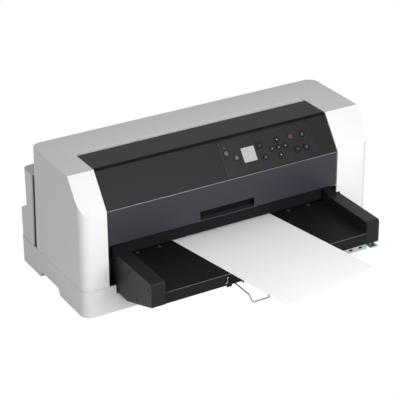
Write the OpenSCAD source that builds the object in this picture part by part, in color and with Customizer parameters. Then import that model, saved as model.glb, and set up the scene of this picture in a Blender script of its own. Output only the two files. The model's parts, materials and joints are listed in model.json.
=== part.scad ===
// Wide flatbed dot matrix printer: grey case, hinged black cover with a control panel,
// front paper tray with side guides, and the printing and feeding works inside.
// X runs to the right, Y to the back, Z up. Y = 0 is the case's front face, Z = 0 the table.

/* [Case] */
// Width over the grey case
case_w = 639; // [620:1:700]
// Depth of the lower case, front face to rear face
case_d = 287; // [282:1:300]
// Height of the case top above the table
case_h = 281; // [276:1:300]
// Height of the seam between lower and upper case
seam_z = 58.5; // [56:0.5:62]
// Dark gap along the seam
seam_gap = 0.6; // [0.3:0.1:1]
// Wall of the moulded casings
wall = 3; // [2.5:0.1:3.5]
// How far below the top the front face bends back
bend_drop = 66; // [60:1:70]
// Distance from the front face to the bend into the flat top
bend_y = 48; // [42:1:54]
// Depth of the flat top, measured from the front face
top_d = 209; // [205:1:212]
// How far the rear wall leans back towards the seam
rear_lean = 12; // [8:0.5:16]
// Radius of the upright corners
corner_r = 20; // [14:1:24]
// Height of the lower case's underside
under_z = 3; // [2:0.5:4]
// Height of the hollow between front block and rear feet
arch_z = 16.5; // [14:0.5:17]
// Radius of the rubber feet
foot_r = 11; // [9:1:13]

/* [Rear steps] */
// Top of the high rear step
step_hi_z = 216; // [212:1:220]
// Rear face of the high rear step
step_hi_y = 256; // [254:1:258]
// Top of the low rear step where it meets the high one
step_lo_z = 130; // [128:1:134]
// Height of the low rear step's rear edge
step_edge_z = 114; // [110:1:118]
// Inset of the rear steps from the case's side faces
step_inset = 1; // [0.5:0.5:3]
// Distance of the rear cover flap from the case's side faces
flap_inset = 87.5; // [80:0.5:95]

/* [Cover] */
// Width of the grey tower left of the cover
left_tower_w = 53.5; // [51:0.5:55]
// Width of the grey tower right of the cover
right_tower_w = 76.5; // [74:0.5:80]
// Gap between cover and case opening
cover_gap = 1; // [0.6:0.1:1.4]
// How far the cover's surface lies below the case top
cover_drop = 0.4; // [0.2:0.1:1.2]
// Rear edge of the cover
cover_back_y = 118.2; // [112:0.1:124]
// Distance from front face to the bend of the cover
cover_bend_y = 48.7; // [46:0.1:52]
// Distance from front face to the dark window
window_y = 1.5; // [1:0.1:3]
// How far the dark window's top edge lies below the case top
window_drop = 66.4; // [63:0.1:70]
// Bottom edge of the dark window
window_z = 142.9; // [140:0.1:146]
// Thickness of the dark window
window_t = 3; // [2:0.1:3.2]
// Run of the lip that leads down from the case top to the cover
lip_run = 16; // [12:0.5:20]
// Centre of the finger grip
grip_x = -9; // [-20:1:10]
// Width of the finger grip in the window
grip_w = 120; // [100:1:140]
// Height of the finger grip
grip_h = 20; // [16:1:24]
// Depth of the finger grip
grip_d = 12; // [9:0.5:13]
// Radius of the cover's hinge pins
pin_r = 3; // [2:0.1:3.5]

/* [Control panel] */
// Left edge of the control panel
panel_x = -8.6; // [-11:0.1:-6]
// Width of the control panel
panel_w = 208; // [206:1:214]
// Distance from the cover's bend down the slope to the panel
panel_s = 7.5; // [6.5:0.5:9]
// Thickness of the control panel
panel_t = 2.5; // [2:0.1:3]
// Side of the square display
display_w = 29.5; // [26:0.5:31]
// Radius of the round buttons
button_r = 5; // [4:0.1:5.5]
// Height of a button above the panel
button_h = 1.2; // [0.9:0.1:1.6]
// Width of a square button
key_w = 12; // [10:0.5:13]
// Depth of a square button
key_d = 10; // [8:0.5:11]

/* [Paper tray] */
// Height of the tray floor, the level of the paper path
path_z = 100; // [98:0.5:102]
// How far the tray stands out from the case's front face
tray_reach = 135; // [120:1:145]
// Distance of the side guides from the case's side faces
tray_inset = 69.5; // [66:0.5:72]
// Width of one side guide
guide_w = 29; // [26:0.5:32]
// Height of the flat guide tops
guide_top_z = 123.5; // [120:0.5:126]
// Rise of the guides towards the cover
guide_rise = 9.5; // [6:0.5:12]
// Distance from the front face to the dark strip over the paper mouth
mouth_y = 21; // [20:0.5:23]
// Lowest point of the side guides
guide_low_z = 42; // [41.5:0.5:46]
// Thickness of the tray's walls
tray_t = 3; // [2.5:0.1:3.5]
// Bottom edge of the tray's front face
tray_low_z = 77; // [74:0.5:79]
// Diameter of the support wire
wire_d = 2.4; // [2:0.1:3]
// Distance between the wire's two legs
wire_span = 36; // [30:1:44]
// How far the wire reaches in front of the tray
wire_reach = 66; // [60:1:80]

/* [Paper] */
// Width of the sheet
sheet_w = 216; // [200:1:216]
// Length of the sheet
sheet_l = 356; // [330:1:360]
// Thickness of the sheet
sheet_t = 0.3; // [0.2:0.05:0.4]
// Angle at which the sheet lies
sheet_turn = 10; // [8:0.5:11]
// Free height under the sheet
sheet_gap = 0.3; // [0.25:0.05:0.4]

/* [Feed works] */
// Distance of the front feed roller from the case front
front_roll_y = 62; // [61:0.5:63]
// Number of teeth on each roller gear
gear_teeth = 64; // [64:4:68]
// Number of teeth on the motor pinion
pinion_teeth = 24; // [20:4:24]
// Tooth module of the feed gears
gear_m = 1; // [1:0.05:1.05]
// Width of the feed gears
gear_t = 8; // [6:0.5:9]
// Radius of the rubber feed rollers
roll_r = 12; // [11:0.1:12.5]
// Radius of the feed roller shafts
roll_shaft_r = 5; // [4:0.1:6]
// Radius of the pinch rollers
pinch_r = 8; // [7:0.1:8.5]
// Radius of the pinch roller shaft
pinch_shaft_r = 3; // [2.5:0.1:4]
// Number of rollers along a shaft
roll_count = 5; // [3:2:7]
// Distance between rollers along a shaft
roll_pitch = 90; // [60:1:92]
// Distance of the steel side frames from the case's side faces
frame_inset = 53.5; // [52:0.5:56]
// Thickness of the steel side frames
frame_t = 2; // [1.5:0.1:3]

/* [Printing works] */
// Distance of the printing line from the case front
print_y = 100; // [98:0.5:102]
// Distance of the carriage shaft from the case front
shaft_y = 140; // [138:0.5:142]
// Height of the carriage shaft
shaft_z = 140; // [138:0.5:142]
// Radius of the carriage shaft
shaft_r = 6; // [5:0.1:7]
// Width of the carriage
carriage_w = 52; // [44:1:60]
// Radius of the belt pulleys
pulley_r = 8; // [7:0.1:9]
// Thickness of the toothed belt
belt_t = 1.6; // [1.2:0.1:2]
// Width of the toothed belt
belt_w = 8; // [6:0.5:9]
// Distance of the ribbon cartridge from the steel side frames
ribbon_inset = 30; // [26:1:34]
// Radius of the ribbon knob
knob_r = 10; // [8:0.5:12]

/* [Hidden] */

$fn = 48;
// Clearance between pieces that move past each other
gap = 0.3;
// Radial clearance of a shaft or pin in its bore
run = 0.05;
// Overshoot of a cut past the surface that it opens
cut = 1;
half_w = case_w / 2;
open_x0 = left_tower_w - half_w;
open_x1 = half_w - right_tower_w;
open_x = (open_x0 + open_x1) / 2;
half_open = (open_x1 - open_x0) / 2;
cover_w = 2 * (half_open - cover_gap);
bend_z = case_h - bend_drop;
cover_z = case_h - cover_drop;
window_top_z = case_h - window_drop;
frame_x = half_w - frame_inset;
tray_w = case_w - 2 * tray_inset;
flap_w = case_w - 2 * flap_inset;
ribbon_w = 2 * (frame_x - ribbon_inset);

grey = [0.78, 0.79, 0.79];
black = [0.13, 0.13, 0.14];
steel = [0.62, 0.64, 0.66];
rubber = [0.1, 0.1, 0.1];

// ---- helpers ----

// A box given by its two corners
module box(a, b) {
  translate(a) cube(b - a);
}

// A cylinder along X from x0 to x1
module rod_x(x0, x1, y, z, r) {
  translate([x0, y, z]) rotate([0, 90, 0]) cylinder(r = r, h = x1 - x0);
}

// A cylinder along Y from y0 to y1
module rod_y(x, y0, y1, z, r) {
  translate([x, y0, z]) rotate([-90, 0, 0]) cylinder(r = r, h = y1 - y0);
}

// A cylinder along Z from z0 to z1
module rod_z(x, y, z0, z1, r) {
  translate([x, y, z0]) cylinder(r = r, h = z1 - z0);
}

// A side profile, points as [y, z], drawn out along X
module profile_x(points, x0, x1) {
  translate([x0, 0, 0]) rotate([90, 0, 90]) linear_extrude(height = x1 - x0) polygon(points);
}

// An upright block with its four upright edges rounded
module round_block(hx, y0, y1, z0, z1, r) {
  box([-hx + r, y0, z0], [hx - r, y1, z1]);
  box([-hx, y0 + r, z0], [hx, y1 - r, z1]);
  for (sx = [-1, 1], y = [y0 + r, y1 - r]) rod_z(sx * (hx - r), y, z0, z1, r);
}

// The same piece on both sides
module both_sides() {
  children();
  mirror([1, 0, 0]) children();
}

// Points on an arc around c, from angle a0 to a1, in the profile plane
function arc(c, r, a0, a1, n = 6) =
  [for (i = [0 : n]) let (a = a0 + (a1 - a0) * i / n) c + r * [cos(a), sin(a)]];

// ---- case forms ----

slope_a = atan2(case_h - bend_z, bend_y);
lean_a = atan2(rear_lean, case_h - seam_z);

// Side profile of the upper case, moved in by i
function case_front_z(i) = bend_z - i * cos(slope_a) + i * (1 - sin(slope_a)) * tan(slope_a);
function case_bend_y(i) =
  i * sin(slope_a) + (case_h - i - bend_z + i * cos(slope_a)) / tan(slope_a);
function rear_wall_y(z) = top_d + (case_h - z) * tan(lean_a);
function case_profile(i, z0) = [
  [i, z0],
  [i, case_front_z(i)],
  [case_bend_y(i), case_h - i],
  [rear_wall_y(case_h - i) - i / cos(lean_a), case_h - i],
  [rear_wall_y(z0) - i / cos(lean_a), z0]
];

// Solid form of the upper case, moved in by i, from height z0 up
module case_form(i, z0) {
  reach = case_d * 2;
  intersection() {
    profile_x(case_profile(i, z0), -half_w + i, half_w - i);
    round_block(half_w - i, i, reach, z0, case_h, corner_r - i);
    translate([0, top_d, case_h]) rotate([lean_a, 0, 0])
      round_block(half_w - i, -reach, -i, -reach, corner_r, corner_r - i);
  }
}

// ---- cover forms ----

slant_l = norm([cover_bend_y - window_y, cover_z - window_top_z]);
slant_a = atan2(cover_z - window_top_z, cover_bend_y - window_y);
hinge_y = cover_back_y - 3.4;
hinge_z = cover_z - 4.4;
cover_bend_r = 8;
trim_h = 1.4;

// The same piece at both sides of the case's opening
module open_sides() {
  translate([open_x, 0, 0]) both_sides() children();
}

// Moves a child to the cover's slope: X to the right, Y up the slope, Z out of it
module on_slope() {
  translate([0, cover_bend_y, cover_z]) rotate([slant_a, 0, 0]) children();
}

// Outer line of the black cover moved in by i, from the rear edge to the window's top
function cover_line(i) = let (
  r = cover_bend_r - i,
  t = cover_bend_r * tan(slant_a / 2),
  c = [cover_bend_y + t, cover_z - cover_bend_r]
) concat(
  [[cover_back_y, cover_z - i]],
  arc(c, r, 90, 90 + slant_a),
  [[window_y + i * sin(slant_a) , window_top_z - i * cos(slant_a)]]
);
function backwards(points) = [for (i = [len(points) - 1 : -1 : 0]) points[i]];

// Cover section with its front edge and the flange that the window hangs on
flange_y = window_y + window_t;
function cover_section(t) = concat(
  cover_line(0),
  [[flange_y, window_top_z], [flange_y, window_top_z - 14], [flange_y + 3, window_top_z - 14],
    [flange_y + 3, inner_line_z(t, flange_y + 3)]],
  backwards([for (i = [0 : 7]) cover_line(t)[i]])
);
function skirt_y(t, z) = window_y + t * sin(slant_a)
  + (z - window_top_z + t * cos(slant_a)) / tan(slant_a);
function skirt_section(t) = concat(
  [for (i = [0 : 7]) cover_line(1)[i]],
  [[flange_y, inner_line_z(1, flange_y)], [flange_y, window_top_z - 14],
    [skirt_y(t, window_top_z - 14), window_top_z - 14], [skirt_y(t, cover_z - t), cover_z - t],
    [cover_back_y, cover_z - t]]
);
function inner_line_z(t, y) = let (a = cover_line(t)[8])
  a[1] + (y - a[0]) * tan(slant_a);

// ---- tray and path values ----

half_tray = tray_w / 2;
half_floor = half_tray - guide_w;
guide_room = 2;
tray_in_y = front_roll_y - roll_r - 4;
mouth_top_z = path_z + 7.5;
sheet_z = path_z + sheet_gap;
sheet_top = sheet_z + sheet_t;
wire_x = -77.5;
wire_z = path_z - 20;

// ---- feed values ----

gear_r = gear_m * gear_teeth / 2;
pinion_r = gear_m * pinion_teeth / 2;
pinion_y = front_roll_y + gear_r + pinion_r;
rear_roll_y = pinion_y + gear_r + pinion_r;
roll_z = path_z - roll_r;
pinch_z = sheet_top + gap + pinch_r;
gear_x = frame_x + frame_t + 8;
frame_back_y = 252;
pan_z = arch_z + wall + 1;
idler_y = rear_roll_y + gear_r + pinion_r;
tractor_y = idler_y + gear_r + pinion_r;
sprocket_r = roll_r;
tractor_x = 130;

// ---- printing values ----

ribbon_z = sheet_top + 0.6;
ribbon_t = 0.3;
nose_z = ribbon_z + ribbon_t + 0.4;
head_back_y = print_y + 14;
pulley_y = shaft_y + 60;
pulley_x = frame_x - gap - 19;
belt_z = shaft_z - 6;
bracket_z = belt_z - 4;
cart_y = [36, 78];
cart_z = [136, 158];
knob_x = ribbon_w / 2 - 31;

// A spur gear outline: trapezoid teeth with backlash, a tooth centred at angle 0
function gear_points(n, m) = let (p = 360 / n, r = n * m / 2) [
  for (i = [0 : n - 1], k = [0 : 3]) let (
    a = i * p + p * [-0.31, -0.12, 0.12, 0.31][k],
    q = [r - 1.2 * m, r + 0.85 * m, r + 0.85 * m, r - 1.2 * m][k]
  ) q * [cos(a), sin(a)]
];

module spur_gear(n, m, t, bore) {
  difference() {
    linear_extrude(height = t) polygon(gear_points(n, m));
    if (bore > 0) translate([0, 0, -cut]) cylinder(r = bore, h = t + 2 * cut);
    if (n > 40) {
      for (k = [0 : 5])
        rotate(k * 60 + 30) translate([n * m * 0.31, 0, -cut])
          cylinder(r = n * m * 0.085, h = t + 2 * cut);
    }
  }
}

// ---- casing ----

module lower_case() {
  color(grey) difference() {
    union() {
      round_block(half_w, 0, case_d, under_z, seam_z, corner_r);
      // apron that closes the front below the tray
      box([-half_floor + 2, 0, seam_z - cut], [half_floor - 2, wall, path_z - tray_t - gap]);
    }
    // hollow, deeper over the front block and over the rear
    round_block(half_w - wall, wall, case_d - wall, arch_z + wall, seam_z + cut, corner_r - wall);
    round_block(half_w - wall, wall, 100, under_z + wall, arch_z + wall + cut, corner_r - wall);
    round_block(half_w - wall, 201, case_d - wall, under_z + wall, arch_z + wall + cut,
      corner_r - wall);
    // arch underneath, between front block and rear feet
    profile_x([[104, -cut], [114, arch_z], [186, arch_z], [197, -cut]], -half_w - cut,
      half_w + cut);
    // notches that the side guides come out of
    both_sides() box([half_floor - 2, -cut, guide_low_z - 2],
      [half_tray + guide_room, wall + corner_r, seam_z + cut]);
    // inlet and connectors in the rear wall
    inlet_cut();
    ports_cut();
  }
  // posts under the steel pan
  color(grey) for (sx = [-1, 1], y = [60, 240])
    rod_z(sx * 280, y, under_z + wall, pan_z, 6);
}

module upper_case() {
  z0 = seam_z + seam_gap;
  rim = 24;
  lip_y = cover_back_y + 2.6;
  lip_z = cover_z - 5;
  open_y = lip_y + lip_run;
  color(grey) difference() {
    union() {
      difference() {
        case_form(0, z0);
        case_form(wall, z0 - cut);
        // opening for cover, window and tray
        box([open_x0, -cut, z0 - cut], [open_x1, open_y, case_h + cut]);
        // opening of the rear wall towards the tractors
        box([-frame_x - 19, top_d - wall - cut, z0 - cut],
          [frame_x + 19, top_d + rear_lean + cut, step_hi_z - 12]);
      }
      // walls at both sides of the opening
      open_sides() profile_x([[0, z0], [0, case_front_z(0)], [case_bend_y(0), case_h],
        [open_y + 4, case_h], [open_y + 4, case_h - rim], [case_bend_y(rim), case_h - rim],
        [rim, case_front_z(rim)], [rim, z0]], half_open, half_open + wall);
      // sloping lip behind the cover
      profile_x([[lip_y, lip_z], [open_y, case_h], [open_y + wall, case_h],
        [open_y + wall, case_h - wall], [open_y, case_h - wall], [lip_y, lip_z - wall]],
        open_x0, open_x1);
    }
    // seats of the cover's hinge pins
    open_sides() rod_x(half_open - cut, half_open + wall + cut, hinge_y, hinge_z, pin_r + run);
    // room for the right guide, which reaches in under the tower
    box([open_x1 - cut, -cut, z0 - cut],
      [half_tray + guide_room, guide_back_y + guide_room, guide_back_z + 4]);
  }
}

module rear_cut() {
  z0 = seam_z + seam_gap;
  profile_x([[0, z0 - cut], [0, case_h], [rear_wall_y(case_h) + 0.5, case_h],
    [rear_wall_y(z0 - cut) + 0.5, z0 - cut]], -half_w, half_w);
}

flap_y0 = rear_wall_y(step_hi_z) + 4;
flap_hinge_y = flap_y0 + 3.5;
flap_hinge_z = step_hi_z - 5;
flap_pin_r = 1.9;
screw_spots = [-half_w + 24, -half_w + 64, half_w - 64, half_w - 24];
screw_z = seam_z + 14;

// Solid form of the low rear step, moved in by i
module low_step(i, z0) {
  intersection() {
    round_block(half_w - step_inset - i, 150, case_d - i, z0, step_lo_z, corner_r - i);
    profile_x([[100, z0], [100, step_lo_z - i], [step_hi_y + 2, step_lo_z - i],
      [case_d - i, step_edge_z - i], [case_d - i, z0]], -half_w, half_w);
  }
}

module rear_housing() {
  z0 = seam_z + seam_gap;
  hx = half_w - step_inset;
  hf = flap_w / 2;
  color(grey) difference() {
    union() {
      difference() {
        union() {
          round_block(hx, 150, step_hi_y, z0, step_hi_z, 14);
          low_step(0, z0);
        }
        round_block(hx - wall, 150, step_hi_y - wall, z0 - cut, step_hi_z - wall, 14 - wall);
        low_step(wall, z0 - cut);
        // the flap's bay, open down to the paper path
        box([-hf - gap, 150, step_lo_z], [hf + gap, step_hi_y + cut, step_hi_z + cut]);
        // slot that paper enters or leaves by
        box([-hf + 6, step_hi_y, path_z - 4], [hf - 6, case_d + cut, path_z + 12]);
      }
      // inner walls beside the flap
      both_sides() difference() {
        box([hf + gap, 150, step_lo_z - wall - 2], [hf + gap + wall, step_hi_y - 1, step_hi_z - 1]);
        rod_x(hf, hf + gap + wall + cut, flap_hinge_y, flap_hinge_z, flap_pin_r + run);
      }
      // screw lugs
      for (x = screw_spots) rod_y(x, case_d - wall - 14, case_d - wall, screw_z, 5);
    }
    rear_cut();
    for (x = screw_spots) {
      rod_y(x, case_d - wall - 15, case_d + cut, screw_z, 1.75);
      rod_y(x, case_d - 2, case_d + cut, screw_z, 4.2);
    }
  }
}

module rear_cover() {
  hf = flap_w / 2 - gap;
  z1 = step_lo_z + 0.8;
  color(grey) {
    profile_x([[flap_y0, step_hi_z], [flap_y0, step_hi_z - wall],
      [step_hi_y - wall, step_hi_z - wall], [step_hi_y - wall, z1], [step_hi_y, z1],
      [step_hi_y, step_hi_z]], -hf, hf);
    // hinge ears with their pins
    for (sx = [-1, 1]) {
      box([sx > 0 ? hf - 5 : -hf, flap_y0, flap_hinge_z - 3.5],
        [sx > 0 ? hf : -hf + 5, flap_y0 + 8, step_hi_z - wall]);
      rod_x(sx > 0 ? hf - cut : -hf - wall - gap, sx > 0 ? hf + wall + gap : -hf + cut,
        flap_hinge_y, flap_hinge_z, flap_pin_r);
    }
  }
}

module rubber_feet() {
  color(rubber) for (sx = [-1, 1], y = [34, 208])
    rod_z(sx * (half_w - 30), y, 0, under_z, foot_r);
}

module case_screws() {
  color(steel) for (x = screw_spots) {
    difference() {
      rod_y(x, case_d - 2, case_d, screw_z, 4);
      box([x - 2.6, case_d - 1, screw_z - 0.5], [x + 2.6, case_d + cut, screw_z + 0.5]);
      box([x - 0.5, case_d - 1, screw_z - 2.6], [x + 0.5, case_d + cut, screw_z + 2.6]);
    }
    rod_y(x, case_d - wall - 12, case_d - 2, screw_z, 1.7);
  }
}

inlet_x = 190;
inlet_z = 36;
inlet_w = 27.5;
inlet_h = 20;

module inlet_cut() {
  box([inlet_x - inlet_w / 2 - gap, case_d - wall - cut, inlet_z - inlet_h / 2 - gap],
    [inlet_x + inlet_w / 2 + gap, case_d + cut, inlet_z + inlet_h / 2 + gap]);
}

module ac_inlet() {
  y1 = case_d - 0.5;
  color(black) difference() {
    union() {
      box([inlet_x - inlet_w / 2, y1 - 22, inlet_z - inlet_h / 2],
        [inlet_x + inlet_w / 2, y1, inlet_z + inlet_h / 2]);
      box([inlet_x - inlet_w / 2 - 6, case_d - wall - 4, inlet_z - inlet_h / 2 - 3],
        [inlet_x + inlet_w / 2 + 6, case_d - wall - gap, inlet_z + inlet_h / 2 + 3]);
    }
    box([inlet_x - inlet_w / 2 + 2, y1 - 18, inlet_z - inlet_h / 2 + 2],
      [inlet_x + inlet_w / 2 - 2, y1 + cut, inlet_z + inlet_h / 2 - 2]);
  }
  color(steel) for (k = [-1, 0, 1])
    box([inlet_x + k * 7 - 1, y1 - 18, inlet_z - 2 + (k == 0 ? 3 : 0)],
      [inlet_x + k * 7 + 1, y1 - 6, inlet_z + 2 + (k == 0 ? 3 : 0)]);
}

par_x = -120;
usb_x = -60;

module ports_cut() {
  z0 = board_z + board_t - gap;
  box([par_x - 33.5, case_d - wall - cut, z0], [par_x + 33.5, case_d + cut, z0 + 15 + 2 * gap]);
  box([usb_x - 6.5, case_d - wall - cut, z0], [usb_x + 6.5, case_d + cut, z0 + 11 + 2 * gap]);
}

// A connector shell with a socket and a tongue that ends short of the mouth
module port(x, w, h, tongue) {
  y1 = case_d - 0.5;
  z0 = board_z + board_t;
  zm = z0 + h / 2;
  difference() {
    box([x - w / 2, y1 - 16, z0], [x + w / 2, y1, z0 + h]);
    box([x - w / 2 + 1.2, y1 - 11, z0 + 1.2], [x + w / 2 - 1.2, y1 + cut, z0 + h - 1.2]);
  }
  box([x - w / 2 + 4, y1 - 12, zm - tongue / 2], [x + w / 2 - 4, y1 - 6, zm + tongue / 2]);
}

module interface_ports() {
  color(steel) {
    port(par_x, 66, 15, 4);
    port(usb_x, 12, 11, 3);
  }
}

// ---- cover ----

module panel_pocket() {
  on_slope() {
    translate([panel_x - gap, -slant_l + panel_edge, -panel_t - gap])
      cube([panel_w + 2 * gap, slant_l - panel_s - panel_edge + gap, panel_t + 2]);
    translate([panel_x + 3, -slant_l + 5, -30])
      cube([panel_w - 6, slant_l - panel_s - 8, 30]);
  }
}

module top_cover() {
  hx = cover_w / 2;
  skirt = 16;
  color(black) {
    difference() {
      union() {
        profile_x(cover_section(5), open_x - hx, open_x + hx);
        open_sides() profile_x(skirt_section(skirt), hx - 3, hx);
      }
      panel_pocket();
    }
    // hinge pins, moulded on the side skirts
    open_sides() {
      rod_x(hx - 3, half_open + wall - gap, hinge_y, hinge_z, pin_r);
      box([hx - 8, hinge_y - 9, hinge_z - 5], [hx, hinge_y, hinge_z]);
    }
  }
}

module front_window() {
  hx = cover_w / 2 - 0.5;
  g0 = grip_x - grip_w / 2;
  g1 = grip_x + grip_w / 2;
  z1 = window_z + grip_h;
  color([0.2, 0.2, 0.25]) {
    difference() {
      box([open_x - hx, window_y, window_z],
        [open_x + hx, window_y + window_t, window_top_z - trim_h]);
      box([g0, window_y - cut, window_z - cut], [g1, window_y + window_t + cut, z1]);
    }
    // finger cup behind the grip
    difference() {
      box([g0 - 2, window_y + window_t, window_z], [g1 + 2, window_y + grip_d + 2, z1 + 2]);
      box([g0, window_y, window_z + 2], [g1, window_y + grip_d, z1]);
    }
    // lip that the fingers pull on
    box([g0 - 6, window_y - 1.5, window_z], [g1 + 6, window_y, window_z + 2]);
    box([g0, window_y, window_z], [g1, window_y + window_t, window_z + 2]);
  }
}

module trim_strip() {
  hx = cover_w / 2 - 0.5;
  color([0.6, 0.61, 0.63])
    box([open_x - hx, window_y - 0.4, window_top_z - trim_h],
      [open_x + hx, window_y + window_t, window_top_z]);
}

// Lip of the cover left in front of the panel
panel_edge = 2;

// Button places on the slope: x to the right, s down the slope from the bend
power_at = [5.3, 31.5];
home_at = [24.1, 44.1];
back_at = [79.5, 31.5];
menu_at = [85.2, 56.8];
pad_at = [119.2, 44.1];
pad_step = 15.2;
stop_at = [150.7, 29.6];
load_at = [177.1, 30.6];
tear_off_at = [158, 57.1];
line_feed_at = [178.6, 57.1];
display_at = [52.7, 43.1];
led_at = [4.4, 20];
led_r = 2;
flange = 1.3;

round_spots = [power_at, home_at, menu_at, pad_at, pad_at + [0, -pad_step],
  pad_at + [0, pad_step], pad_at - [pad_step, 0], pad_at + [pad_step, 0], stop_at, load_at];
square_spots = [back_at, tear_off_at, line_feed_at];

module at_spot(p) {
  on_slope() translate([p[0], -p[1], 0]) children();
}

module control_panel() {
  color(black) difference() {
    on_slope() translate([panel_x, -slant_l + panel_edge + gap, -panel_t - gap])
      cube([panel_w, slant_l - panel_s - panel_edge - gap, panel_t + gap]);
    for (p = round_spots) at_spot(p) translate([0, 0, -panel_t - cut])
      cylinder(r = button_r + gap, h = panel_t + 2 * cut);
    for (p = square_spots) at_spot(p)
      translate([-key_w / 2 - gap, -key_d / 2 - gap, -panel_t - cut])
        cube([key_w + 2 * gap, key_d + 2 * gap, panel_t + 2 * cut]);
    at_spot(display_at) translate([-display_w / 2, -display_w / 2, -panel_t - cut])
      cube([display_w, display_w, panel_t + 2 * cut]);
    at_spot(led_at) translate([0, 0, -panel_t - cut]) cylinder(r = led_r + 0.1, h = 9);
  }
}

module display_lens() {
  w = display_w - 2 * 0.15;
  color([0.85, 0.87, 0.86]) at_spot(display_at)
    translate([-w / 2, -w / 2, -panel_t]) cube([w, w, panel_t - 0.3]);
  color([0.6, 0.9, 0.7]) at_spot(led_at) translate([0, 0, -panel_t]) cylinder(r = led_r, h = panel_t);
}

// A round button: a cap in the panel's hole and a flange under the panel
module round_button(p) {
  at_spot(p) {
    translate([0, 0, -panel_t - 2 * gap])
      cylinder(r = button_r, h = panel_t + 2 * gap + button_h);
    translate([0, 0, -panel_t - 2 * gap - flange]) cylinder(r = button_r + 1.2, h = flange);
  }
}

module square_button(p) {
  at_spot(p) {
    translate([-key_w / 2, -key_d / 2, -panel_t - 2 * gap])
      cube([key_w, key_d, panel_t + 2 * gap + button_h]);
    translate([-key_w / 2 - 1, -key_d / 2 - 1, -panel_t - 2 * gap - flange])
      cube([key_w + 2, key_d + 2, flange]);
  }
}

module power_button() { color([0.35, 0.38, 0.42]) round_button(power_at); }
module home_button() { color([0.45, 0.44, 0.43]) round_button(home_at); }
module back_button() { color(black) square_button(back_at); }
module menu_button() { color(black) round_button(menu_at); }
module up_button() { color(black) round_button(pad_at - [0, pad_step]); }
module down_button() { color(black) round_button(pad_at + [0, pad_step]); }
module left_button() { color(black) round_button(pad_at - [pad_step, 0]); }
module right_button() { color(black) round_button(pad_at + [pad_step, 0]); }
module ok_button() { color(black) round_button(pad_at); }
module stop_button() { color([0.55, 0.36, 0.28]) round_button(stop_at); }
module load_button() { color(black) round_button(load_at); }
module tear_off_button() { color(black) square_button(tear_off_at); }
module line_feed_button() { color(black) square_button(line_feed_at); }

// ---- tray ----

tray_front_y = -tray_reach;
leg_hole_r = wire_d / 2 + gap;

module paper_tray() {
  hx = half_floor - gap;
  color(black) difference() {
    union() {
      box([-hx, tray_front_y + tray_t, path_z - tray_t], [hx, tray_in_y, path_z]);
      // front wall, its upper edge broken
      profile_x([[tray_front_y, tray_low_z], [tray_front_y, path_z - 0.8],
        [tray_front_y + 0.8, path_z], [tray_front_y + tray_t, path_z],
        [tray_front_y + tray_t, tray_low_z]], -hx, hx);
      // stiffening ribs under the floor
      for (k = [1 : 3]) box([-hx, tray_front_y + 40 * k, path_z - 9],
        [hx, tray_front_y + 40 * k + 2, path_z - 1]);
      // tubes that hold the wire's legs
      for (k = [0, 1]) rod_y(wire_x + k * wire_span, tray_front_y + 1, tray_front_y + 41,
        wire_z, leg_hole_r + 2);
      for (k = [0, 1]) box([wire_x + k * wire_span - 1.2, tray_front_y + 1, wire_z + 3],
        [wire_x + k * wire_span + 1.2, tray_front_y + 41, path_z - 1]);
      // boss at the wire's left leg and a short peg beside it
      box([wire_x - 14, tray_front_y, tray_low_z - 4],
        [wire_x - 4, tray_front_y + tray_t, tray_low_z + 1]);
      rod_y(wire_x + 16, tray_front_y - 8, tray_front_y + 1, wire_z, 1.6);
    }
    for (k = [0, 1])
      rod_y(wire_x + k * wire_span, tray_front_y - cut, tray_front_y + 95, wire_z, leg_hole_r);
    // recess where the bright clip sits
    box([wire_x - 18, tray_front_y - cut, tray_low_z + 3],
      [wire_x - 9, tray_front_y + 1.5, path_z - 4]);
    // slots over the small mouth rollers
    for (x = mouth_spots) box([x - 6, mouth_roll_y - 7.6, path_z - tray_t - cut],
      [x + 6, mouth_roll_y + 7.6, path_z + cut]);
  }
  // cradles of the small rollers' axle
  color(black) for (x = cradle_spots) difference() {
    box([x - 2, mouth_roll_y - 4, mouth_roll_z - 4], [x + 2, mouth_roll_y + 4, path_z - 1]);
    rod_x(x - 3, x + 3, mouth_roll_y, mouth_roll_z, 2 + run);
  }
}

mouth_roll_y = 27;
mouth_roll_r = 7;
mouth_roll_z = path_z + 1.6 - mouth_roll_r;
mouth_in = [-1, -1, 1, 1];
mouth_spots = [for (k = [0 : 3]) mouth_in[k] * (half_floor - (k % 3 == 0 ? 28.5 : 75.5))];
cradle_spots = [for (sx = [-1, 1], d = [14.5, 52.5, 160.5]) sx * (half_floor - d)];

module mouth_rollers() {
  color([0.45, 0.45, 0.46]) {
    rod_x(-half_floor + 10.5, half_floor - 10.5, mouth_roll_y, mouth_roll_z, 2);
    for (x = mouth_spots) difference() {
      rod_x(x - 4, x + 4, mouth_roll_y, mouth_roll_z, mouth_roll_r);
      rod_x(x - 5, x + 5, mouth_roll_y, mouth_roll_z, 2 + run);
    }
  }
}

guide_knee_y = -3.5;
guide_back_y = mouth_y - 4.5;
guide_back_z = guide_top_z + guide_rise;

function guide_profile(i) = [
  [guide_back_y - i, guide_low_z + 3],
  [guide_back_y - i, guide_back_z - i],
  [guide_knee_y - i * 0.2, guide_top_z - i],
  [tray_front_y + 4 + i, guide_top_z - i],
  [tray_front_y + 1 + i, guide_top_z - 2 - i],
  [tray_front_y + i, guide_top_z - 5 - i],
  [tray_front_y + i, tray_low_z - 1],
  [tray_front_y + 35, 63.5],
  [tray_front_y + 97, guide_low_z]
];

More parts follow.
